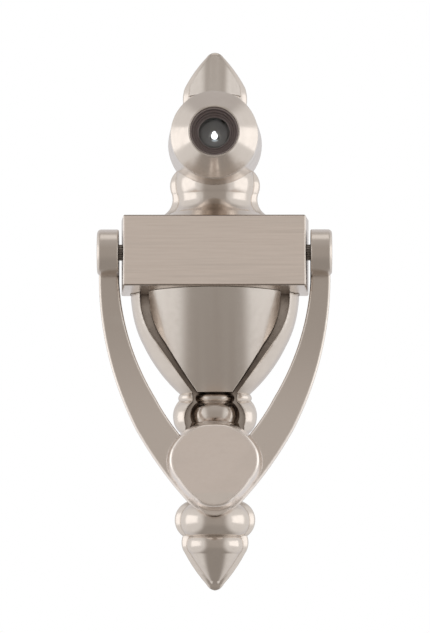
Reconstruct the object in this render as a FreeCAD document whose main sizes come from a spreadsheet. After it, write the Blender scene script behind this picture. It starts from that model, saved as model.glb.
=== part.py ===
import FreeCAD, Part
import math
import os
import Sketcher

# Door knocker with a door viewer. Millimetres, +Z up, +X to the right seen from outside.
# The door's outer face is the plane y = 0 and the knocker stands out toward -Y.
# The origin is the viewer's axis at the door's outer face.

SIZES = {
    # door and plate
    "door_thickness": 44.5,
    "wall": 3.2,
    "plate_rim": 1.6,
    "rim_squash": 0.35,
    "band_squash": 0.70,
    "groove_floor": 3.0,
    "urn_radius": 33.0,
    "urn_top_front": 23.4,
    "urn_foot_front": 9.0,
    "finial_radius": 9.8,
    "finial_tip_front": 3.6,
    "finial_foot_front": 10.0,
    "tongue_half_width": 29.5,
    "tongue_depth": 6.0,
    "screw_z": -132.9,
    "screw_radius": 2.0,
    "screw_head_radius": 5.0,
    # hinge block and pins
    "block_half_width": 33.05,
    "block_half_height": 13.65,
    "block_depth": 25.0,
    "block_draft": 3.0,
    "block_gap": 0.1,
    "block_slot_half_width": 29.7,
    "block_screw_x": 12.0,
    "block_screw_radius": 2.0,
    "block_screw_head": 3.9,
    "pivot_z": -40.1,
    "pivot_h": 16.3,
    "journal_radius": 2.85,
    "journal_clearance": 0.05,
    "knurl_radius": 2.8,
    "knurl_depth": 0.35,
    "knurl_count": 16,
    "pin_inner": 18.0,
    # knocker
    "knuckle_radius": 8.1,
    "knuckle_inner": 33.5,
    "knuckle_length": 7.5,
    "strap_front_top": 14.6,
    "strap_front_foot": 18.0,
    "arm_edge": 1.0,
    "striker_front": 28.0,
    "striker_back": 13.4,
    "striker_draft": 6.4,
    "striker_edge": 1.2,
    "lobe_radius": 7.0,
    "lobe_z": -125.0,
    "lobe_front": 19.0,
    "button_radius": 4.2,
    "button_front": 10.45,
    "button_z": -114.7,
    # viewer
    "seat_radius": 16.6,
    "seat_front_radius": 15.3,
    "seat_front": 26.4,
    "barrel_radius": 6.25,
    "barrel_hole_radius": 6.5,
    "bezel_radius": 15.2,
    "bezel_back": 27.0,
    "bezel_front": 36.0,
    "mouth_radius": 8.3,
    "optic_radius": 5.68,
    "inner_radius": 5.25,
    "flange_radius": 9.5,
}

doc = FreeCAD.newDocument("door_knocker_viewer")
sheet = doc.addObject("Spreadsheet::Sheet", "Sizes")
for row, (alias, value) in enumerate(SIZES.items(), start=1):
    sheet.set(f"A{row}", alias)
    sheet.set(f"B{row}", str(value))
    sheet.setAlias(f"B{row}", alias)
doc.recompute()


def size(alias):
    return float(sheet.get(alias))


def new_body(name):
    body = doc.addObject("PartDesign::Body", name)
    body.Label = name
    return body


def origin_plane(body, role):
    return next(f for f in body.Origin.OriginFeatures if f.Role == role)


def new_sketch(body, name, role, offset=0.0):
    """A sketch on one of the body's own planes, moved along the plane's normal."""
    sk = body.newObject("Sketcher::SketchObject", name)
    sk.AttachmentSupport = [(origin_plane(body, role), "")]
    sk.MapMode = "FlatFace"
    sk.AttachmentOffset = FreeCAD.Placement(FreeCAD.Vector(0, 0, offset), FreeCAD.Rotation())
    return sk


def draw(sk, start, moves):
    """A closed outline: a move of 2 numbers is a line's end, one of 4 is an arc's middle and end."""
    here = FreeCAD.Vector(*start, 0)
    ends = []
    for move in moves:
        there = FreeCAD.Vector(*move[-2:], 0)
        if len(move) == 4:
            edge = Part.Arc(here, FreeCAD.Vector(*move[:2], 0), there)
        else:
            edge = Part.LineSegment(here, there)
        index = sk.addGeometry(edge, False)
        first = sk.getPoint(index, 1).distanceToPoint(here) < 1e-4
        ends.append((index, 1 if first else 2, 2 if first else 1))
        here = there
    for (a, _, a_end), (b, b_start, _) in zip(ends, ends[1:] + ends[:1]):
        sk.addConstraint(Sketcher.Constraint("Coincident", a, a_end, b, b_start))
    doc.recompute()


def mirrored(start, moves):
    """The left half of an outline whose right half runs from start down to the centre line."""
    points = [start] + [move[-2:] for move in moves]
    back = []
    for move, end in zip(reversed(moves), reversed(points[:-1])):
        middle = (-move[0], move[1]) if len(move) == 4 else ()
        back.append((*middle, -end[0], end[1]))
    return moves + back


def closed_half(start, moves):
    """A right half outline and its mirror image, joined by a line across the bottom."""
    across = (-moves[-1][-2], moves[-1][-1])
    return moves + [across] + mirrored(start, moves)[len(moves):]


def circle(sk, x, y, alias):
    """A circle whose radius follows the size sheet."""
    index = sk.addGeometry(Part.Circle(FreeCAD.Vector(x, y, 0), FreeCAD.Vector(0, 0, 1), size(alias)))
    number = sk.addConstraint(Sketcher.Constraint("Radius", index, size(alias)))
    sk.renameConstraint(number, "radius")
    sk.setExpression("Constraints.radius", "Sizes." + alias)
    return index


def rectangle(sk, x0, y0, x1, y1):
    draw(sk, (x0, y0), [(x1, y0), (x1, y1), (x0, y1), (x0, y0)])


def turned(name, role, axis, start, moves):
    """A body turned about a sketch axis from a half profile."""
    body = new_body(name)
    sk = new_sketch(body, name + "_profile", role)
    draw(sk, start, moves)
    rev = body.newObject("PartDesign::Revolution", name + "_turning")
    rev.Profile = sk
    rev.ReferenceAxis = (sk, [axis])
    rev.Angle = 360.0
    doc.recompute()
    return body


def turned_front(name, start, moves):
    """The front half of a turning about the upright centre line, flat at the door."""
    flipped = [tuple(-v if i % 2 == 0 else v for i, v in enumerate(move)) for move in moves]
    body = turned(name, "YZ_Plane", "V_Axis", (-start[0], start[1]), flipped)
    body.Tip.Angle = 180
    body.Tip.Midplane = True
    doc.recompute()
    return body


def dome(rim_y, radius, bulge):
    """The middle of a spherical cap's arc and its top, for a cap that rises by bulge from its rim."""
    sphere = (radius ** 2 + bulge ** 2) / (2 * abs(bulge))
    half = math.asin(radius / sphere) / 2
    fall = math.copysign(sphere * (1 - math.cos(half)), bulge)
    return rim_y + bulge - fall, sphere * math.sin(half), rim_y + bulge, 0


def along_viewer(name, start, moves):
    """A piece turned about the viewer's axis; profile points are (y, radius)."""
    return turned(name, "YZ_Plane", "H_Axis", start, moves)


def add_pad(body, sk, alias=None, length=None, back=False, midplane=False):
    pad = body.newObject("PartDesign::Pad", sk.Name + "_pad")
    pad.Profile = sk
    if alias:
        pad.setExpression("Length", "Sizes." + alias)
    else:
        pad.Length = length
    pad.Reversed = back
    pad.Midplane = midplane
    doc.recompute()
    return pad


def cut_pocket(body, sk, length, back=False):
    """A pocket checked by volume: the material must become less."""
    before = body.Shape.Volume
    pocket = body.newObject("PartDesign::Pocket", sk.Name + "_pocket")
    pocket.Profile = sk
    pocket.Length = length
    pocket.Reversed = back
    doc.recompute()
    if body.Shape.Volume > before - 1e-3:
        raise RuntimeError(f"{pocket.Name} removed nothing")
    return pocket


def dress(body, kind, base, edges, amount):
    """A fillet or chamfer on the edges that pass the test."""
    names = [f"Edge{i}" for i, e in enumerate(base.Shape.Edges, start=1) if edges(e)]
    feature = body.newObject("PartDesign::" + kind, f"{base.Name}_{kind.lower()}")
    feature.Base = (base, names)
    if kind == "Fillet":
        feature.Radius = amount
    else:
        feature.Size = amount
    doc.recompute()
    return feature


def combine(kind, name, *shapes):
    """A Part boolean: Cut takes a base and a tool, MultiFuse and MultiCommon a list."""
    result = doc.addObject("Part::" + kind, name)
    if kind == "Cut":
        result.Base, result.Tool = shapes
    else:
        result.Shapes = list(shapes)
    result.Refine = True
    result.Label = name
    doc.recompute()
    return result


def squashed(name, base, alias):
    """The same shape made shallower front to back."""
    result = doc.addObject("Part::Scale", name)
    result.Base = base
    result.Uniform = False
    result.XScale = 1.0
    result.ZScale = 1.0
    result.setExpression("YScale", "Sizes." + alias)
    doc.recompute()
    return result


def solid_box(name, x0, x1, y0, y1, z0, z1):
    box = doc.addObject("Part::Box", name)
    box.Length, box.Width, box.Height = x1 - x0, y1 - y0, z1 - z0
    box.Placement.Base = FreeCAD.Vector(x0, y0, z0)
    return box


# ---- backplate ------------------------------------------------------------------------------

BLOCK_TOP = -26.3       # where the casting's turned parts stop above and below the hinge block
BLOCK_BOTTOM = -53.8
FAR = 60.0              # longer than the plate is deep
STRAP_FOOT = -140.0     # below the knocker's tip
VAULT_EXTRA = 14.0      # how far a vault's cylinder runs past its outline


def rim_profile():
    """Half outline of the whole plate, tip to tip, closed down its centre line."""
    return (0, 33.0), [
        (1.75, 32.5, 3.0, 31.3),
        (7.3, 26.0, 10.7, 20.4),
        (11.35, 17.3, 10.8, 12.2),
        (16.3, 0.0, 13.4, -9.25),
        (15.85, -13.7, 15.2, -17.8),
        (15.2, -21.0, 18.0, -24.9),
        (21.0, BLOCK_TOP),
        (29.4, BLOCK_TOP - 4.0),
        (29.6, -48.0),
        (29.0, -60.0, 25.05, -71.6),
        (19.9, -80.2, 12.3, -88.6),
        (12.15, -90.3),
        (14.8, -96.4, 10.5, -103.3),
        (9.0, -106.5),
        (9.0, -123.0),
        (9.7, -126.3),
        (14.15, -132.9, 11.35, -138.4),
        (11.75, -141.0, 10.6, -144.4),
        (7.3, -149.9, 3.0, -155.4),
        (1.7, -156.9, 0, -157.5),
        (0, 33.0),
    ]


def finial_outline():
    """Right half outline of the leaf-shaped upper finial, down to under the viewer."""
    return (0, 31.4), [
        (1.2, 31.0, 2.2, 30.0),
        (6.1, 24.9, 9.2, 19.6),
        (9.4, 17.0),
        (0, 17.0),
    ]


def crown_profile():
    """Half profile of the turned relief from under the viewer down to the hinge block."""
    return (0, 17.6), [
        (9.0, 17.6),
        (8.2, 13.6),
        (8.2, -6.0),
        (12.6, -8.6),
        (14.2, -13.6, 13.5, -18.2),
        (13.4, -21.4, 16.2, -24.9),
        (20.0, BLOCK_TOP - 2.0),
        (0, BLOCK_TOP - 2.0),
        (0, 17.6),
    ]


def urn_outline():
    """Half outline of the urn as seen from the front, inside its groove."""
    return (0, BLOCK_BOTTOM + 2.0), [
        (22.9, BLOCK_BOTTOM + 2.0),
        (22.0, -62.0, 17.4, -71.0),
        (11.9, -79.8, 6.1, -88.3),
    ]


def lower_profile():
    """Half profile of the neck beads, the waist, the ball and the lower finial."""
    rim = size("plate_rim")
    return (0, -86.0), [
        (5.6, -86.0),
        (5.6, -88.5),
        (7.4, -90.1, 6.7, -91.6),
        (9.0, -95.2, 8.5, -98.7),
        (8.8, -99.0),
        (9.4, -101.2),
        (9.2, -103.6),
        (7.4, -106.5),
        (7.4, -123.4),
        (8.4, -126.9),
        (12.55, -132.9, 10.2, -138.3),
        (9.3, -138.7),
        (10.25, -141.2, 8.9, -144.8),
        (5.9, -149.5, 2.1, -154.3),
        (1.2, -155.5, 0, -157.5 + rim),
        (0, -86.0),
    ]


def band_profile():
    """Half profile of the broad rounded band around the urn and the small bulb."""
    return (0, BLOCK_BOTTOM + 2.0), [
        (29.5, BLOCK_BOTTOM + 2.0),
        (28.5, -62.6, 25.05, -71.6),
        (19.9, -80.2, 12.3, -88.6),
        (12.95, -90.0, 12.15, -91.4),
        (14.7, -96.4, 10.5, -103.3),
        (8.6, -106.2),
        (0, -106.2),
        (0, BLOCK_BOTTOM + 2.0),
    ]


def groove_outline():
    """Right half of the outer edge of the groove between the urn and its band."""
    return (26.1, BLOCK_BOTTOM + 2.0), [
        (25.0, -62.5, 20.4, -71.0),
        (14.3, -79.7, 8.0, -88.3),
        (7.7, -91.4),
        (10.3, -95.2, 10.2, -100.0),
        (10.2, -103.5),
        (0, -104.5),
    ]


def hollow_profile():
    """Half profile of the hollow behind the urn."""
    top = BLOCK_BOTTOM - size("wall")
    return (0, top), [(15.5, top), (15.0, -62.5, 11.5, -69.0), (4.0, -77.0), (0, -77.0), (0, top)]


def make_banded_rim():
    """The low rim and the band around the urn, with the groove cut inside the band."""
    rim = squashed("plate_rim_low", turned_front("plate_rim", *rim_profile()), "rim_squash")
    band = squashed("urn_band_low", turned_front("urn_band", *band_profile()), "band_squash")
    outer = combine("MultiFuse", "plate_outer", rim, band)
    groove = new_body("urn_groove")
    sk = new_sketch(groove, "groove_edge", "XZ_Plane", size("groove_floor"))
    start, right = groove_outline()
    draw(sk, start, mirrored(start, right) + [start])
    add_pad(groove, sk, length=FAR)
    return combine("Cut", "plate_grooved", outer, groove)


def vault(name, outline, radius, top, bottom):
    """A relief with an upright outline and a cylindrical front that leans back.

    top and bottom are the (forward, height) ends of the line along the front's middle.
    """
    wall = new_body(name + "_wall")
    sk = new_sketch(wall, name + "_outline", "XZ_Plane")
    draw(sk, *outline)
    add_pad(wall, sk, length=FAR)
    low, high = FreeCAD.Vector(0, -bottom[0], bottom[1]), FreeCAD.Vector(0, -top[0], top[1])
    lean = (high - low).normalize()
    inward = FreeCAD.Vector(0, lean.z, -lean.y)
    roof = doc.addObject("Part::Cylinder", name + "_roof")
    roof.setExpression("Radius", "Sizes." + radius)
    roof.Height = high.distanceToPoint(low) + 2 * VAULT_EXTRA
    roof.Placement = FreeCAD.Placement(low + inward * size(radius) - lean * VAULT_EXTRA,
                                       FreeCAD.Rotation(FreeCAD.Vector(0, 0, 1), lean))
    return combine("MultiCommon", name + "_relief", roof, wall)


def make_urn():
    start, right = urn_outline()
    return vault("urn", (start, closed_half(start, right)), "urn_radius",
                 (size("urn_top_front"), start[1]), (size("urn_foot_front"), -88.3))


def make_finial():
    start, right = finial_outline()
    return vault("finial", (start, mirrored(start, right)), "finial_radius",
                 (size("finial_tip_front"), start[1]), (size("finial_foot_front"), 17.0))


def make_seat():
    """The drum that carries the viewer."""
    front, radius = -size("seat_front"), size("seat_front_radius")
    return along_viewer("viewer_seat", (0, 0), [
        (0, size("seat_radius")), (front + 0.8, radius), (front, radius - 0.8), (front, 0), (0, 0)])


def make_saddle_space():
    """The space of the hinge block, which narrows toward the front like the block."""
    body = new_body("saddle_space")
    sk = new_sketch(body, "saddle_side_view", "YZ_Plane")
    near, mid = size("tongue_depth"), size("pivot_z")
    slope = math.tan(math.radians(size("block_draft")))
    half_near = size("block_half_height") + size("block_gap") - near * slope
    half_far = half_near - (FAR - near) * slope
    draw(sk, (-near, mid + half_near), [
        (-FAR, mid + half_far), (-FAR, mid - half_far), (-near, mid - half_near),
        (-near, mid + half_near)])
    add_pad(body, sk, length=2 * FAR, midplane=True)
    return body


def make_plate_holes():
    """Everything bored or hollowed out of the plate from the door side."""
    barrel = size("barrel_hole_radius")
    screw = size("screw_radius") + 0.1
    stud, button = 1.62, size("button_radius") + 0.1
    head, shank = size("block_screw_head") + 0.3, size("block_screw_radius") + 0.3
    holes = [
        turned("urn_hollow", "YZ_Plane", "V_Axis", *hollow_profile()),
        along_viewer("barrel_hole", (5, 0), [(5, barrel), (-FAR, barrel), (-FAR, 0), (5, 0)]),
        along_viewer("seat_recess", (5, 9.5), [
            (5, 13.2), (-21.0, 12.4), (-22.0, 11.6), (-22.0, 9.5), (5, 9.5)]),
        along_viewer("plate_screw_hole", (1, 0), [(1, screw), (-9.0, screw), (-10.0, 0), (1, 0)]),
        along_viewer("stud_hole", (-2.5, 0), [
            (-2.5, stud), (-7.0, stud), (-7.0, button), (-9.0, button), (-9.0, 0), (-2.5, 0)]),
    ]
    holes[3].Placement.Base = FreeCAD.Vector(0, 0, size("screw_z"))
    holes[4].Placement.Base = FreeCAD.Vector(0, 0, size("button_z"))
    for side, sign in (("left", -1), ("right", 1)):
        hole = along_viewer("block_screw_hole_" + side, (1, 0), [
            (1, head), (0, head), (-2.3, shank), (-20, shank), (-20, 0), (1, 0)])
        hole.Placement.Base = FreeCAD.Vector(sign * size("block_screw_x"), 0, size("pivot_z"))
        holes.append(hole)
    return holes


def make_backplate():
    half_width = size("tongue_half_width")
    # the hinge block straddles this flat tongue
    tongue = solid_box("tongue", -half_width, half_width, -size("tongue_depth"), 0,
                       BLOCK_BOTTOM + 0.1, BLOCK_TOP - 0.1)
    filled = combine("MultiFuse", "plate_filled", make_banded_rim(),
                     make_finial(), turned_front("upper_relief", *crown_profile()), make_urn(),
                     turned_front("lower_relief", *lower_profile()), make_seat(), tongue)
    tools = combine("MultiFuse", "plate_cuts", make_saddle_space(), *make_plate_holes())
    return combine("Cut", "backplate", filled, tools)


# ---- hinge block and pins -------------------------------------------------------------------

def make_hinge_block():
    body = new_body("hinge_block")
    sk = new_sketch(body, "block_back", "XZ_Plane")
    half, tall, mid = size("block_half_width"), size("block_half_height"), size("pivot_z")
    rectangle(sk, -half, mid - tall, half, mid + tall)
    pad = add_pad(body, sk, alias="block_depth")
    pad.setExpression("TaperAngle", "-Sizes.block_draft")
    doc.recompute()
    front = -size("block_depth")
    edges = dress(body, "Fillet", pad, lambda e: e.BoundBox.YMin < front + 1e-3, 0.7)

    sk = new_sketch(body, "tongue_slot", "XZ_Plane")
    slot = size("block_slot_half_width")
    rectangle(sk, -slot, mid - 2 * tall, slot, mid + 2 * tall)
    cut_pocket(body, sk, size("tongue_depth") + 0.05, back=True)

    sk = new_sketch(body, "pin_bores", "YZ_Plane", size("pin_inner"))
    circle(sk, -size("pivot_h"), mid, "knurl_radius")
    cut_pocket(body, sk, half, back=True)
    sk = new_sketch(body, "pin_bores_left", "YZ_Plane", -size("pin_inner"))
    circle(sk, -size("pivot_h"), mid, "knurl_radius")
    cut_pocket(body, sk, half)

    sk = new_sketch(body, "block_screw_taps", "XZ_Plane")
    for sign in (-1, 1):
        sk.addGeometry(Part.Circle(FreeCAD.Vector(sign * size("block_screw_x"), mid, 0),
                                   FreeCAD.Vector(0, 0, 1), size("block_screw_radius") + 0.02))
    cut_pocket(body, sk, 17.5, back=True)
    return body


def make_pivot_pin(name, sign):
    """Knurled end pressed in the block, plain journal carrying the knuckle."""
    body = new_body(name)
    inner, outer = size("pin_inner"), size("knuckle_inner") + size("knuckle_length") - 0.4
    knurl_end = size("knuckle_inner") - 0.15
    sk = new_sketch(body, name + "_knurl", "YZ_Plane", sign * (inner + 0.2))
    count, deep = int(size("knurl_count")), size("knurl_depth")
    crest, root = size("knurl_radius") - 0.01, size("knurl_radius") - deep
    step = 2 * math.pi / count

    def at(radius, turn):
        return (radius * math.cos(turn) - size("pivot_h"), radius * math.sin(turn) + size("pivot_z"))

    outline = []
    for tooth in range(count):
        turn = tooth * step
        outline += [at(crest, turn + 0.2 * step), at(root, turn + 0.4 * step),
                    at(root, turn + 0.8 * step), at(crest, turn + step)]
    draw(sk, at(crest, 0), outline)
    add_pad(body, sk, length=knurl_end - inner - 0.2, back=sign < 0)
    sk = new_sketch(body, name + "_journal", "YZ_Plane", sign * knurl_end)
    circle(sk, -size("pivot_h"), size("pivot_z"), "journal_radius")
    pad = add_pad(body, sk, length=outer - knurl_end, back=sign < 0)
    dress(body, "Chamfer", pad, lambda e: abs(e.BoundBox.XMin - sign * outer) < 1e-3
          and abs(e.BoundBox.XMax - sign * outer) < 1e-3, 0.4)
    return body


# ---- knocker --------------------------------------------------------------------------------

def striker_outline():
    """Right half of the outline of the striker's flat face."""
    return (0, -100.95), [
        (9.6, -103.6, 14.6, -109.4),
        (15.35, -114.2, 12.65, -120.0),
        (9.9, -123.7, 6.6, -126.7),
        (3.7, -128.75, 0, -129.45),
    ]


def arm_outline():
    """The knocker from the front: start, right outer edge down, whole inner edge back to start."""
    start, corner = (40.5, -40.1), (11.8, -104.2)
    outer = [
        (40.5, -50.0),
        (37.3, -75.6, 27.4, -102.2),
        (20.0, -113.9, 9.6, -127.0),
        (5.4, -129.9, 0, -130.6),
    ]
    inner_right = [
        (16.9, -97.3, 20.6, -91.0),
        (30.2, -69.0, 33.5, -50.0),
        (33.5, -40.1),
    ]
    inner_left = [(-33.5, -40.1)] + mirrored(corner, inner_right)[len(inner_right):]
    return start, outer, inner_left + [corner] + inner_right + [start]


def make_arms():
    """Both arms and the web behind the striker: the front view cut to the strap's side view."""
    mid = size("pivot_z")
    top, foot = size("strap_front_top"), size("strap_front_foot")
    body = new_body("knocker_arms")
    sk = new_sketch(body, "arms_front_view", "XZ_Plane")
    start, outer, inner = arm_outline()
    draw(sk, start, mirrored(start, outer) + inner)
    add_pad(body, sk, length=FAR)

    strap = new_body("knocker_strap")
    sk = new_sketch(strap, "strap_side_view", "YZ_Plane")
    draw(sk, (-7.6, mid), [
        (-7.6, -50.0), (-9.4, -76.0, -10.5, -102.2), (-10.5, -119.8), (-13.4, -125.5),
        (-13.4, STRAP_FOOT), (-foot, STRAP_FOOT), (-top, mid), (-7.6, mid)])
    add_pad(strap, sk, length=2 * FAR, midplane=True)
    arms = combine("MultiCommon", "knocker_arms_strap", body, strap)

    def on_front(edge):
        """Whether an edge lies in the strap's flat front, leaving out its two cut tops."""
        def gap(vertex):
            along = (mid - vertex.Z) / (mid - STRAP_FOOT)
            return abs(vertex.Y + top + (foot - top) * along)
        return all(gap(v) < 1e-3 for v in edge.Vertexes) and edge.BoundBox.ZLength > 1.0

    eased = doc.addObject("Part::Fillet", "knocker_arms_eased")
    eased.Base = arms
    eased.Edges = [(i, size("arm_edge"), size("arm_edge"))
                   for i, e in enumerate(arms.Shape.Edges, start=1) if on_front(e)]
    doc.recompute()
    return eased


def make_knuckle(side, sign):
    """The round eye at the top of an arm."""
    inner, length = size("knuckle_inner"), size("knuckle_length")
    barrel = doc.addObject("Part::Cylinder", "knuckle_" + side)
    barrel.setExpression("Radius", "Sizes.knuckle_radius")
    barrel.setExpression("Height", "Sizes.knuckle_length")
    barrel.Placement = FreeCAD.Placement(
        FreeCAD.Vector(min(sign * inner, sign * (inner + length)), -size("pivot_h"), size("pivot_z")),
        FreeCAD.Rotation(FreeCAD.Vector(0, 1, 0), 90))
    doc.recompute()
    ends = [(i, e) for i, e in enumerate(barrel.Shape.Edges, start=1) if e.BoundBox.XLength < 1e-3]
    outside = max(ends, key=lambda end: sign * end[1].BoundBox.XMin)[0]
    soft = doc.addObject("Part::Fillet", "knuckle_soft_" + side)
    soft.Base = barrel
    soft.Edges = [(i, r, r) for i, _ in ends for r in ((1.4 if i == outside else 0.5),)]
    return soft


def make_striker():
    """The thick striker with its drafted wall."""
    body = new_body("striker")
    sk = new_sketch(body, "striker_face", "XZ_Plane", size("striker_front"))
    start, moves = striker_outline()
    draw(sk, start, mirrored(start, moves))
    wall = add_pad(body, sk, length=1.0, back=True)
    wall.setExpression("Length", "Sizes.striker_front - Sizes.striker_back")
    wall.setExpression("TaperAngle", "Sizes.striker_draft")
    doc.recompute()
    front = -size("striker_front")
    dress(body, "Fillet", wall, lambda e: e.BoundBox.YMax < front + 1e-3, size("striker_edge"))
    return body


def make_lobe():
    """The round lobe that shows just under the striker's tip."""
    lobe = doc.addObject("Part::Cylinder", "striker_lobe")
    lobe.setExpression("Radius", "Sizes.lobe_radius")
    lobe.setExpression("Height", "Sizes.lobe_front - Sizes.striker_back")
    lobe.Placement = FreeCAD.Placement(FreeCAD.Vector(0, -size("striker_back"), size("lobe_z")),
                                       FreeCAD.Rotation(FreeCAD.Vector(1, 0, 0), 90))
    return lobe


def make_knocker():
    solid = combine("MultiFuse", "knocker_solid", make_arms(), make_striker(), make_lobe(),
                    make_knuckle("left", -1), make_knuckle("right", 1))
    bores = doc.addObject("Part::Cylinder", "knuckle_bores")
    bores.setExpression("Radius", "Sizes.journal_radius + Sizes.journal_clearance")
    bores.Height = 4 * FAR
    bores.Placement = FreeCAD.Placement(
        FreeCAD.Vector(-2 * FAR, -size("pivot_h"), size("pivot_z")),
        FreeCAD.Rotation(FreeCAD.Vector(0, 1, 0), 90))
    return combine("Cut", "knocker", solid, bores)


# ---- screws and button ----------------------------------------------------------------------

def make_block_screw(name, sign):
    head, shank = size("block_screw_head"), size("block_screw_radius")
    body = along_viewer(name, (-0.3, 0.9), [
        (-0.3, head), (-2.3, shank), (-15.5, shank), (-16.4, shank - 0.8), (-16.4, 0), (-1.8, 0),
        (-1.8, 0.9), (-0.3, 0.9)])
    body.Placement.Base = FreeCAD.Vector(sign * size("block_screw_x"), 0, size("pivot_z"))
    return body


def make_strike_button():
    radius, front = size("button_radius"), -size("button_front")
    body = along_viewer("strike_button", (-3.0, 0), [
        (-3.0, 1.6), (-7.0, 1.6), (-7.0, radius), (front + 1.4, radius),
        (front + 0.4, radius - 0.4, front, radius - 1.4), (front, 0), (-3.0, 0)])
    body.Placement.Base = FreeCAD.Vector(0, 0, size("button_z"))
    return body


def make_mounting_screw():
    inside = size("door_thickness")
    head, shank = size("screw_head_radius"), size("screw_radius")
    body = along_viewer("mounting_screw", (-8.5, 0), [
        (-8.5, shank - 0.7), (-7.8, shank), (inside + 0.3, shank), (inside + 2.2, head),
        dome(inside + 2.2, head, 1.6), (-8.5, 0)])
    body.Placement.Base = FreeCAD.Vector(0, 0, size("screw_z"))
    return body


def make_finish_washer():
    inside = size("door_thickness")
    head, shank = size("screw_head_radius"), size("screw_radius")
    body = along_viewer("finish_washer", (inside, shank + 0.3), [
        (inside, head + 2.6), (inside + 0.5, head + 2.6),
        (inside + 1.9, head + 1.7, inside + 2.4, head + 0.2), (inside + 2.25, head + 0.05),
        (inside + 0.4, shank + 0.3), (inside, shank + 0.3)])
    body.Placement.Base = FreeCAD.Vector(0, 0, size("screw_z"))
    return body


# ---- viewer ---------------------------------------------------------------------------------

OPTIC_FRONT = -31.0     # front rim of the first lens
STOP_SHOULDER = -22.1   # shoulder inside the outer barrel that the optical stack rests on


def make_outer_barrel():
    barrel, optic = size("barrel_radius"), size("optic_radius") + 0.03
    end = size("door_thickness") - 9.5
    return along_viewer("outer_barrel", (OPTIC_FRONT, optic), [
        (OPTIC_FRONT, barrel), (end - 0.5, barrel), (end, barrel - 0.5),
        (end, size("inner_radius") + 0.06), (STOP_SHOULDER, size("inner_radius") + 0.06),
        (STOP_SHOULDER, optic), (OPTIC_FRONT, optic)])


def make_bezel():
    outer, mouth = size("bezel_radius"), size("mouth_radius")
    back, front = -size("bezel_back"), -size("bezel_front")
    bore = size("barrel_radius") + 0.03
    return along_viewer("viewer_bezel", (back, bore), [
        (back, outer - 0.5), (back - 0.5, outer), (back - 1.1, outer),
        (front + 0.35, 9.25), (front, 8.9), (front, mouth + 0.25),
        (front + 0.4, mouth), (OPTIC_FRONT - 0.05, mouth), (OPTIC_FRONT - 0.05, bore), (back, bore)])


def make_gasket():
    outer = size("bezel_radius") - 0.9
    bore = size("barrel_radius") + 0.15
    front, back = -size("bezel_back"), -size("seat_front")
    return along_viewer("viewer_gasket", (back, bore), [
        (back, outer), (front, outer), (front, bore), (back, bore)])


def make_retainer():
    """Stepped black ring that lines the mouth and clamps the first lens."""
    outer = size("mouth_radius") - 0.03
    back = OPTIC_FRONT - 0.05
    return along_viewer("objective_retainer", (back, 5.4), [
        (back, outer), (-34.9, outer), (-34.9, outer - 0.35), (-33.6, outer - 0.75),
        (-33.6, outer - 1.35), (-32.7, outer - 1.6), (-32.7, 6.15), (-32.3, 5.95),
        (-31.8, 5.4), (back, 5.4)])


def make_lens(name, radius, front, back, front_bulge, back_bulge, clear):
    """A round lens: rim faces at front and back, each face domed (+) or hollowed (-)."""
    back_dome = dome(back, clear, back_bulge)
    return along_viewer(name, (back, radius), [
        (front, radius), (front, clear), dome(front, clear, -front_bulge), back_dome[2:],
        (*back_dome[:2], back, clear), (back, radius)])


def make_spacer():
    outer = size("optic_radius")
    return along_viewer("lens_spacer", (-24.5, outer - 0.5), [
        (-24.5, outer), (-29.4, outer), (-29.4, outer - 0.5), (-24.5, outer - 0.5)])


def make_stop():
    outer = size("optic_radius")
    return along_viewer("aperture_stop", (STOP_SHOULDER, 2.2), [
        (STOP_SHOULDER, outer), (-22.9, outer), (-22.9, 1.6), (-22.6, 1.6), (STOP_SHOULDER, 2.2)])


def make_inner_barrel():
    inside = size("door_thickness")
    outer, flange = size("inner_radius"), size("flange_radius")
    body = along_viewer("inner_barrel", (12.0, 4.0), [
        (12.0, outer - 0.4), (12.4, outer), (inside, outer), (inside, flange),
        (inside + 1.2, flange), (inside + 2.1, flange - 0.5, inside + 2.5, flange - 2.0),
        (inside + 2.5, 4.9), (inside - 1.6, 4.9), (inside - 1.6, 4.2), (16.0, 4.2), (16.0, 4.0),
        (12.0, 4.0)])
    sk = new_sketch(body, "coin_slots", "XZ_Plane", -inside - 2.6)
    rectangle(sk, -flange - 1, -0.9, flange + 1, 0.9)
    cut_pocket(body, sk, 1.2, back=True)
    return body


def make_eyepiece_retainer():
    inside = size("door_thickness")
    return along_viewer("eyepiece_retainer", (inside + 0.9, 3.9), [
        (inside + 0.9, 4.87), (inside + 2.0, 4.87), (inside + 2.0, 4.5), (inside + 1.2, 3.9),
        (inside + 0.9, 3.9)])


optic = size("optic_radius")
inside_face = size("door_thickness")
NODES = {
    "backplate": make_backplate(),
    "hinge_block": make_hinge_block(),
    "hinge_block_screw_left": make_block_screw("hinge_block_screw_left", -1),
    "hinge_block_screw_right": make_block_screw("hinge_block_screw_right", 1),
    "pivot_pin_left": make_pivot_pin("pivot_pin_left", -1),
    "pivot_pin_right": make_pivot_pin("pivot_pin_right", 1),
    "strike_button": make_strike_button(),
    "knocker": make_knocker(),
    "mounting_screw": make_mounting_screw(),
    "finish_washer": make_finish_washer(),
    "viewer_bezel": make_bezel(),
    "viewer_gasket": make_gasket(),
    "outer_barrel": make_outer_barrel(),
    "objective_retainer": make_retainer(),
    "objective_lens": make_lens("objective_lens", optic, OPTIC_FRONT, -29.4, 1.2, -0.9, 5.1),
    "lens_spacer": make_spacer(),
    "second_lens": make_lens("second_lens", optic, -24.5, -22.9, -0.5, -0.6, 5.0),
    "aperture_stop": make_stop(),
    "inner_barrel": make_inner_barrel(),
    "field_lens": make_lens("field_lens", 4.15, 16.0, 19.0, 0.8, 0.8, 3.95),
    "eyepiece_lens": make_lens("eyepiece_lens", 4.85, inside_face - 1.55, inside_face + 0.85,
                               0.9, 0.8, 3.85),
    "eyepiece_retainer": make_eyepiece_retainer(),
}
doc.recompute()

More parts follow.
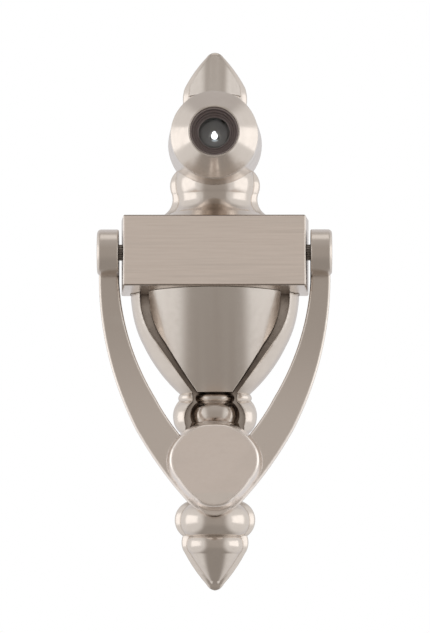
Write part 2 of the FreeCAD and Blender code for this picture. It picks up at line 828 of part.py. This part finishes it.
for node, part in NODES.items():
    part.Label = node
for item in doc.Objects:
    if "Invalid" in item.State or "Error" in item.State:
        raise RuntimeError(f"{item.Name} did not build: {item.State}")
    if hasattr(item, "Shape") and item.TypeId != "Sketcher::SketchObject":
        if item.TypeId.startswith("App::"):
            continue
        if item.Shape.isNull() or not item.Shape.isValid():
            raise RuntimeError(f"{item.Name} has a null or invalid shape")

os.makedirs("parts", exist_ok=True)
for node, part in NODES.items():
    print(node, round(part.Shape.Volume, 1), len(part.Shape.Solids),
          part.Shape.optimalBoundingBox())
    part.Shape.exportStep(f"parts/{node}.step")
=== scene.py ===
import math

import bpy
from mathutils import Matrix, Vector


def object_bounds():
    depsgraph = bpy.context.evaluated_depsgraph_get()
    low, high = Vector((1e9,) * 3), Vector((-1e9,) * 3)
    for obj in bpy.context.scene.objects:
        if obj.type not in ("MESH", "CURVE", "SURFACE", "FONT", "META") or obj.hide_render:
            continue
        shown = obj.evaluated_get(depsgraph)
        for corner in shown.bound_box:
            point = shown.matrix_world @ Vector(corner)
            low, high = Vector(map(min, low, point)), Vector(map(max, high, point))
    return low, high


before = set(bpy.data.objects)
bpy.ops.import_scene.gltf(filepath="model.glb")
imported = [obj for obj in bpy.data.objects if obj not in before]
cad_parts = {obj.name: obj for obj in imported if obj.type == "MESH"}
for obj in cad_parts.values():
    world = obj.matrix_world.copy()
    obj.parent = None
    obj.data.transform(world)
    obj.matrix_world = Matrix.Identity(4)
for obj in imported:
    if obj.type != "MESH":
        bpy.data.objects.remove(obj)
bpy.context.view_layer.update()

# Lengths are in metres, and the camera's sensor and lens in millimetres. The door's face is
# Y = 0, and the object's front looks along -Y.

# ---- node helpers ---------------------------------------------------------------------------


class Nodes:
    """Short calls for building the node tree of a material or of the world."""

    def __init__(self, owner, output="ShaderNodeOutputMaterial"):
        self.owner = owner
        self.owner.use_nodes = True
        self.tree = owner.node_tree
        self.tree.nodes.clear()
        self.out = self.add(output)

    def add(self, kind, **settings):
        node = self.tree.nodes.new(kind)
        for key, value in settings.items():
            setattr(node, key, value)
        return node

    def link(self, a, b):
        self.tree.links.new(a, b)

    def put(self, node, **values):
        """Set a node's own sockets by name, with _ for a space."""
        for key, value in values.items():
            node.inputs[key.replace("_", " ")].default_value = value

    def feed(self, socket, value):
        """Give a socket a number, a colour or another node's output."""
        if isinstance(value, (int, float)):
            socket.default_value = value
        elif isinstance(value, tuple):
            socket.default_value = (*value, 1.0)
        elif value is not None:
            self.link(value, socket)

    def coords(self):
        return self.add("ShaderNodeTexCoord").outputs["Object"]

    def split(self, vector):
        """The outputs X, Y and Z of a vector."""
        node = self.add("ShaderNodeSeparateXYZ")
        self.link(vector, node.inputs[0])
        return node.outputs

    def place(self, axis):
        """Where a point lies along one of its object's own axes."""
        return self.split(self.coords())[axis]

    def facing(self, axis):
        """How much the surface faces along one of the room's axes."""
        return self.split(self.add("ShaderNodeNewGeometry").outputs["Normal"])[axis]

    def noise(self, scale, stretch=(1, 1, 1), detail=4.0, roughness=0.55):
        mapping = self.add("ShaderNodeMapping")
        self.put(mapping, Scale=stretch)
        self.link(self.coords(), mapping.inputs["Vector"])
        noise = self.add("ShaderNodeTexNoise")
        self.put(noise, Scale=scale, Detail=detail, Roughness=roughness)
        self.link(mapping.outputs["Vector"], noise.inputs["Vector"])
        return noise.outputs["Fac"]

    def math(self, operation, a, b=None, clamp=False):
        node = self.add("ShaderNodeMath", operation=operation, use_clamp=clamp)
        self.feed(node.inputs[0], a)
        self.feed(node.inputs[1], b)
        return node.outputs[0]

    def remap(self, value, low, high, to_low=0.0, to_high=1.0, smooth=False):
        node = self.add("ShaderNodeMapRange", interpolation_type="SMOOTHSTEP" if smooth else "LINEAR")
        self.put(node, From_Min=low, From_Max=high, To_Min=to_low, To_Max=to_high)
        self.link(value, node.inputs["Value"])
        return node.outputs["Result"]

    def spread(self, noise, to_low=0.0, to_high=1.0):
        """The range that a noise mostly keeps to, spread from one value to another."""
        return self.remap(noise, 0.3, 0.7, to_low, to_high)

    def mix(self, factor, a, b):
        """One colour mixed into another."""
        node = self.add("ShaderNodeMix", data_type="RGBA")
        for index, value in ((0, factor), (6, a), (7, b)):
            self.feed(node.inputs[index], value)
        return node.outputs[2]

    def mix_number(self, factor, a, b):
        node = self.add("ShaderNodeMix", data_type="FLOAT")
        for index, value in ((0, factor), (2, a), (3, b)):
            self.feed(node.inputs[index], value)
        return node.outputs[0]

    def bump(self, height, strength, distance, normal=None):
        node = self.add("ShaderNodeBump")
        self.put(node, Strength=strength, Distance=distance)
        self.link(height, node.inputs["Height"])
        self.feed(node.inputs["Normal"], normal)
        return node.outputs["Normal"]

    def eased(self, radius):
        """Normals that round sharp edges a little, as plating and buffing do."""
        node = self.add("ShaderNodeBevel", samples=4)
        self.put(node, Radius=radius)
        return node.outputs["Normal"]

    def grooves(self, reach, deep, clear, amount=1.0, smooth=True):
        """The amount deep in grooves, and 0 in the open."""
        node = self.add("ShaderNodeAmbientOcclusion", samples=8, only_local=False)
        self.put(node, Distance=reach)
        return self.remap(node.outputs["AO"], deep, clear, amount, 0.0, smooth)

    def rubbed(self, amount, low=0.52, high=0.60):
        """The amount on convex edges, where handling rubs the finish, and 0 elsewhere."""
        edge = self.remap(self.add("ShaderNodeNewGeometry").outputs["Pointiness"], low, high)
        return self.math("MULTIPLY", edge, amount)

    def surface(self, colour, roughness, normal, metallic=1.0, **plain):
        shader = self.add("ShaderNodeBsdfPrincipled")
        self.put(shader, Metallic=metallic, **plain)
        for name, value in (("Base Color", colour), ("Roughness", roughness), ("Normal", normal)):
            self.feed(shader.inputs[name], value)
        self.link(shader.outputs[0], self.out.inputs["Surface"])
        return shader


# ---- materials ------------------------------------------------------------------------------

NICKEL = (0.72, 0.655, 0.60)
NICKEL_DARK = (0.60, 0.535, 0.48)
PATINA_AND_SHADE = (0.16, 0.115, 0.085)       # lacquer left in the grooves, also painted shade in the grooves and on slanted bevels
BUFFED_SATIN = (0.86, 0.82, 0.77)   # satin nickel where its edges are rubbed
BUFFED_BRUSHED = (0.88, 0.84, 0.79)
EDGE_EASE = 0.0004                  # how far plating and buffing round an edge
ZONE_EDGE = 0.0004                  # over this depth a brushed face gives way to its sides
FOOT_LIGHT_START = -0.060                 # the knocker's arms take their painted light, a lighter foot tint, below this height
FOOT_LIGHT_FULL = -0.105                  # and have all of it here
SPOT_CORE = 0.0009                  # the lens's glow is full within this radius
SPOT_EDGE = 0.0011                  # and gone outside this one
CLEAR_GLASS = {"metallic": 0.0, "IOR": 1.5, "Transmission_Weight": 1.0}


def shade(colour, amount):
    return tuple(part * amount for part in colour)


def satin_nickel(name, rough, grain, grain_bump, patina_and_shade):
    """Plated nickel: fine satin grain, cloudy tone, dark lacquer and painted shade in the grooves."""
    n = Nodes(bpy.data.materials.new(name))
    fine = n.noise(1.0, stretch=grain, detail=5.0)
    cloud = n.noise(42.0, detail=3.0)
    tone = n.mix(n.spread(cloud), shade(NICKEL, 0.96), NICKEL)
    tone = n.mix(n.remap(fine, 0.35, 0.7, 0.0, 0.16), tone, NICKEL_DARK)
    tone = n.mix(n.rubbed(0.35), tone, BUFFED_SATIN)
    # lacquer and painted shade: the grooves darken the more closed in they are
    groove = n.grooves(reach=0.004, deep=0.25, clear=0.62, amount=patina_and_shade)
    tone = n.mix(groove, tone, PATINA_AND_SHADE)
    roughness = n.math("ADD", n.spread(fine, rough - 0.04, rough + 0.06),
                       n.math("MULTIPLY", groove, 0.2), clamp=True)
    n.surface(tone, roughness, n.bump(fine, grain_bump, 0.0002, n.eased(EDGE_EASE)))
    return n.owner


def brushed_face(name, base_rough, face_rough, face_tint, grain, grain_bump, streak, from_y,
                 bevel_shade=0.0, foot_light_tint=NICKEL):
    """Nickel with a brushed front face ahead of from_y; the rest is smoother.

    The front face is found by its direction in the room, so the brushing is right at rest
    and leaves the face as its body swings.
    """
    n = Nodes(bpy.data.materials.new(name))
    streaks = n.noise(1.0, stretch=grain, detail=6.0, roughness=0.6)
    long_streaks = n.noise(1.0, stretch=(grain[0] * 0.4, grain[1], grain[2] * 0.35), detail=3.0)
    cloud = n.noise(30.0, detail=2.0)
    front_zone = n.remap(n.place("Y"), from_y, from_y - ZONE_EDGE)
    front = n.math("MULTIPLY", n.remap(n.facing("Y"), -0.99, -0.93, 1.0, 0.0, smooth=True), front_zone)
    worn = shade(face_tint, 0.78)
    brushed = n.mix(n.remap(streaks, 0.36, 0.66, 0.0, streak), face_tint, worn)
    brushed = n.mix(n.remap(long_streaks, 0.50, 0.70, 0.0, streak), brushed, worn)
    brushed = n.mix(n.spread(cloud, 0.0, 0.10), brushed, worn)
    # painted light: the sides turn lighter towards the bottom
    side = n.mix(n.remap(n.place("Z"), FOOT_LIGHT_START, FOOT_LIGHT_FULL, smooth=True), NICKEL, foot_light_tint)
    side = n.mix(n.spread(cloud, 0.0, 0.06), side, NICKEL_DARK)
    tone = n.mix(front, side, brushed)
    tone = n.mix(n.rubbed(0.4), tone, BUFFED_BRUSHED)
    # lacquer and painted shade darken the grooves
    tone = n.mix(n.grooves(reach=0.003, deep=0.20, clear=0.60, amount=0.7), tone, PATINA_AND_SHADE)
    # painted shade on the front face's slanted bevels
    slant = n.math("ABSOLUTE", n.math("MULTIPLY", n.facing("Y"), n.facing("Z")))
    painted_bevel_shade = n.math("MULTIPLY", n.remap(slant, 0.25, 0.45, 0.0, bevel_shade), front_zone)
    tone = n.mix(painted_bevel_shade, tone, PATINA_AND_SHADE)
    brushed_rough = n.spread(streaks, face_rough - 0.05, face_rough + 0.07)
    roughness = n.mix_number(front, base_rough, brushed_rough)
    n.surface(tone, roughness, n.bump(streaks, grain_bump, 0.0003, n.eased(EDGE_EASE)))
    return n.owner


def dark_steel(name):
    n = Nodes(bpy.data.materials.new(name))
    fine = n.noise(1.0, stretch=(80, 1500, 1500), detail=3.0)
    # painted shade darkens the pins' crevices
    groove = n.grooves(reach=0.001, deep=0.3, clear=0.9, smooth=False)
    tone = n.mix(n.spread(fine), (0.40, 0.36, 0.33), (0.52, 0.48, 0.44))
    tone = n.mix(groove, tone, (0.08, 0.065, 0.055))
    n.surface(tone, n.spread(fine, 0.28, 0.42), n.bump(fine, 0.2, 0.0001))
    return n.owner


def zinc_screw(name):
    n = Nodes(bpy.data.materials.new(name))
    mottled = n.noise(900.0)
    tone = n.mix(n.spread(mottled), (0.56, 0.56, 0.55), (0.70, 0.70, 0.68))
    n.surface(tone, n.spread(mottled, 0.26, 0.44), n.bump(mottled, 0.12, 0.0001))
    return n.owner


def anodised(name, low_tone, high_tone):
    """Anodised metal with a fine speck, paler on its edges."""
    n = Nodes(bpy.data.materials.new(name))
    speck = n.noise(2600.0, detail=3.0)
    tone = n.mix(n.spread(speck), low_tone, high_tone)
    tone = n.mix(n.rubbed(0.8, 0.51, 0.56), tone, (0.42, 0.36, 0.35))
    n.surface(tone, n.spread(speck, 0.32, 0.46), n.bump(speck, 0.1, 0.00005), metallic=0.55)
    return n.owner


def coated_glass(name):
    n = Nodes(bpy.data.materials.new(name))
    smudge = n.noise(260.0, detail=3.0)
    tone = n.mix(n.spread(smudge), (0.90, 0.93, 0.94), (0.84, 0.88, 0.90))
    n.surface(tone, n.remap(smudge, 0.45, 0.8, 0.01, 0.05), n.bump(smudge, 0.01, 0.00005),
              **CLEAR_GLASS)
    return n.owner


def daylight_lens(name):
    """The lens in front of the stop, with a small round glow for daylight seen down the tube."""
    n = Nodes(bpy.data.materials.new(name))
    haze = n.noise(300.0, detail=2.0)
    tone = n.mix(n.spread(haze), (0.92, 0.94, 0.95), (0.88, 0.90, 0.91))
    shader = n.surface(tone, n.remap(haze, 0.4, 0.8, 0.02, 0.08), n.bump(haze, 0.01, 0.00005),
                       Emission_Color=(1, 1, 1, 1), **CLEAR_GLASS)
    across = n.math("POWER", n.place("X"), 2.0)
    up = n.math("POWER", n.place("Z"), 2.0)
    radius = n.math("SQRT", n.math("ADD", across, up))
    n.link(n.remap(radius, SPOT_CORE, SPOT_EDGE, 1.0, 0.0), shader.inputs["Emission Strength"])
    return n.owner


def rubber(name):
    n = Nodes(bpy.data.materials.new(name))
    speck = n.noise(1800.0, detail=3.0)
    tone = n.mix(n.spread(speck), (0.020, 0.018, 0.017), (0.045, 0.042, 0.040))
    n.surface(tone, n.spread(speck, 0.6, 0.8), n.bump(speck, 0.25, 0.0001), metallic=0.0)
    return n.owner


plate = satin_nickel("plate_nickel", rough=0.20, grain=(420, 420, 420), grain_bump=0.008, patina_and_shade=0.8)
bezel = satin_nickel("bezel_nickel", rough=0.20, grain=(300, 300, 300), grain_bump=0.004, patina_and_shade=0.5)
barrel = satin_nickel("barrel_nickel", rough=0.28, grain=(1500, 60, 1500), grain_bump=0.08, patina_and_shade=0.4)
block = brushed_face("block_nickel", base_rough=0.26, face_rough=0.66, face_tint=(0.99, 0.87, 0.79),
                     grain=(60, 60, 1500), grain_bump=0.12, streak=0.46, from_y=-0.020, bevel_shade=0.7)
swing = brushed_face("knocker_nickel", base_rough=0.26, face_rough=0.62, face_tint=(0.96, 0.875, 0.815),
                     grain=(300, 300, 500), grain_bump=0.04, streak=0.12, from_y=-0.026,
                     foot_light_tint=(0.92, 0.845, 0.79))
steel = dark_steel("pin_steel")
zinc = zinc_screw("screw_zinc")
black = anodised("optic_black", (0.150, 0.120, 0.118), (0.215, 0.175, 0.170))
stop_grey = anodised("optic_grey", (0.62, 0.59, 0.57), (0.70, 0.67, 0.65))
glass = coated_glass("lens_glass")
daylight = daylight_lens("daylight_glass")
seal = rubber("gasket_rubber")

FINISH = {
    plate: ("backplate", "strike_button"),
    bezel: ("viewer_bezel",),
    block: ("hinge_block",),
    swing: ("knocker",),
    barrel: ("outer_barrel", "inner_barrel", "finish_washer"),
    steel: ("pivot_pin_left", "pivot_pin_right"),
    zinc: ("hinge_block_screw_left", "hinge_block_screw_right", "mounting_screw"),
    black: ("objective_retainer", "eyepiece_retainer"),
    stop_grey: ("lens_spacer", "aperture_stop"),
    glass: ("objective_lens", "field_lens", "eyepiece_lens"),
    daylight: ("second_lens",),
    seal: ("viewer_gasket",),
}
for material, names in FINISH.items():
    for name in names:
        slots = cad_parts[name].data.materials
        slots.clear()
        slots.append(material)

# ---- floor ----------------------------------------------------------------------------------

FLOOR_DROP = 0.30       # the floor lies this far under the plate's lower tip
FLOOR_REACH = 3.0       # from its middle to each side
PAPER_ROUGH = 0.9
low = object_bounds()[0]
floor_z = low.z - FLOOR_DROP

floor_mesh = bpy.data.meshes.new("studio_floor")
corners = [(-FLOOR_REACH, -FLOOR_REACH), (FLOOR_REACH, -FLOOR_REACH),
           (FLOOR_REACH, FLOOR_REACH), (-FLOOR_REACH, FLOOR_REACH)]
floor_mesh.from_pydata([(x, y, floor_z) for x, y in corners], [], [(0, 1, 2, 3)])
floor = bpy.data.objects.new("studio_floor", floor_mesh)
bpy.context.scene.collection.objects.link(floor)
paper = Nodes(bpy.data.materials.new("studio_paper"))
fibre = paper.noise(60.0, detail=3.0)
paper.surface(paper.mix(paper.spread(fibre), (0.80, 0.79, 0.78), (0.84, 0.83, 0.82)),
              PAPER_ROUGH, None, metallic=0.0)
floor_mesh.materials.append(paper.owner)
floor.visible_glossy = False    # the metal mirrors the dim room below, not the paper

# ---- lights ---------------------------------------------------------------------------------

LIGHT_AIM = Vector((0, 0, -0.06))
SOFTBOXES = (   # name, place, width, height, watts; the side ones end above the floor
    ("softbox_left", (-1.35, -0.15, 0.0), 1.3, 0.84, 1.9),
    ("softbox_right", (1.35, -0.15, 0.0), 1.3, 0.84, 1.9),
    ("softbox_top", (0, -0.3, 1.5), 1.0, 0.8, 1.2),
)
for name, place, width, height, watts in SOFTBOXES:
    light = bpy.data.lights.new(name, "AREA")
    light.shape = "RECTANGLE"
    light.size, light.size_y = width, height
    light.energy = watts
    lamp = bpy.data.objects.new(name, light)
    bpy.context.scene.collection.objects.link(lamp)
    lamp.location = place
    lamp.rotation_euler = (LIGHT_AIM - Vector(place)).to_track_quat("-Z", "Y").to_euler()
    lamp.visible_camera = False

# ---- the room that the metal mirrors --------------------------------------------------------

# dim in front of, above and below the object, bright to both sides and grey behind
FRONT_DIM = (0.44, 0.41, 0.38)
ABOVE = (0.50, 0.475, 0.45)
BELOW = (0.37, 0.345, 0.32)
BEHIND = (0.74, 0.73, 0.74)
BESIDE = (0.88, 0.87, 0.86)
PAPER_WHITE = (1, 1, 1)     # what the camera sees past the floor

room = Nodes(bpy.data.worlds.new("studio"), "ShaderNodeOutputWorld")
bpy.context.scene.world = room.owner


def backdrop(colour):
    node = room.add("ShaderNodeBackground")
    room.put(node, Strength=1.0)
    room.feed(node.inputs["Color"], colour)
    return node.outputs[0]


toward = room.split(room.add("ShaderNodeTexCoord").outputs["Generated"])
sideways = room.math("ABSOLUTE", toward["X"])
room_colour = room.mix(room.remap(toward["Z"], 0.30, 0.75, smooth=True), FRONT_DIM, ABOVE)
room_colour = room.mix(room.remap(toward["Z"], -0.30, -0.75, smooth=True), room_colour, BELOW)
room_colour = room.mix(room.remap(toward["Y"], 0.10, 0.70, smooth=True), room_colour, BEHIND)
room_colour = room.mix(room.remap(sideways, 0.48, 0.72, smooth=True), room_colour, BESIDE)
swap = room.add("ShaderNodeMixShader")
room.link(room.add("ShaderNodeLightPath").outputs["Is Camera Ray"], swap.inputs[0])
room.link(backdrop(room_colour), swap.inputs[1])
room.link(backdrop(PAPER_WHITE), swap.inputs[2])
room.link(swap.outputs[0], room.out.inputs["Surface"])

# ---- camera ---------------------------------------------------------------------------------

CAMERA_AIM = Vector((0.0, 0.0, -0.0610))
CAMERA_DISTANCE = 1.5
CAMERA_RISE = math.radians(-5.4)    # the camera looks up at the object from a little below
CAMERA_TURN = math.radians(0.5)
VIEW_HEIGHT = 0.2233                # what the picture's height covers at the object

lens = bpy.data.cameras.new("camera")
lens.sensor_width = 36.0
lens.lens = lens.sensor_width * CAMERA_DISTANCE / VIEW_HEIGHT
camera = bpy.data.objects.new("camera", lens)
bpy.context.scene.collection.objects.link(camera)
back = Vector((math.sin(CAMERA_TURN) * math.cos(CAMERA_RISE),
               -math.cos(CAMERA_TURN) * math.cos(CAMERA_RISE), math.sin(CAMERA_RISE)))
camera.location = CAMERA_AIM + back * CAMERA_DISTANCE
camera.rotation_euler = (-back).to_track_quat("-Z", "Y").to_euler()
bpy.context.scene.camera = camera
bpy.context.scene.view_settings.view_transform = "Standard"
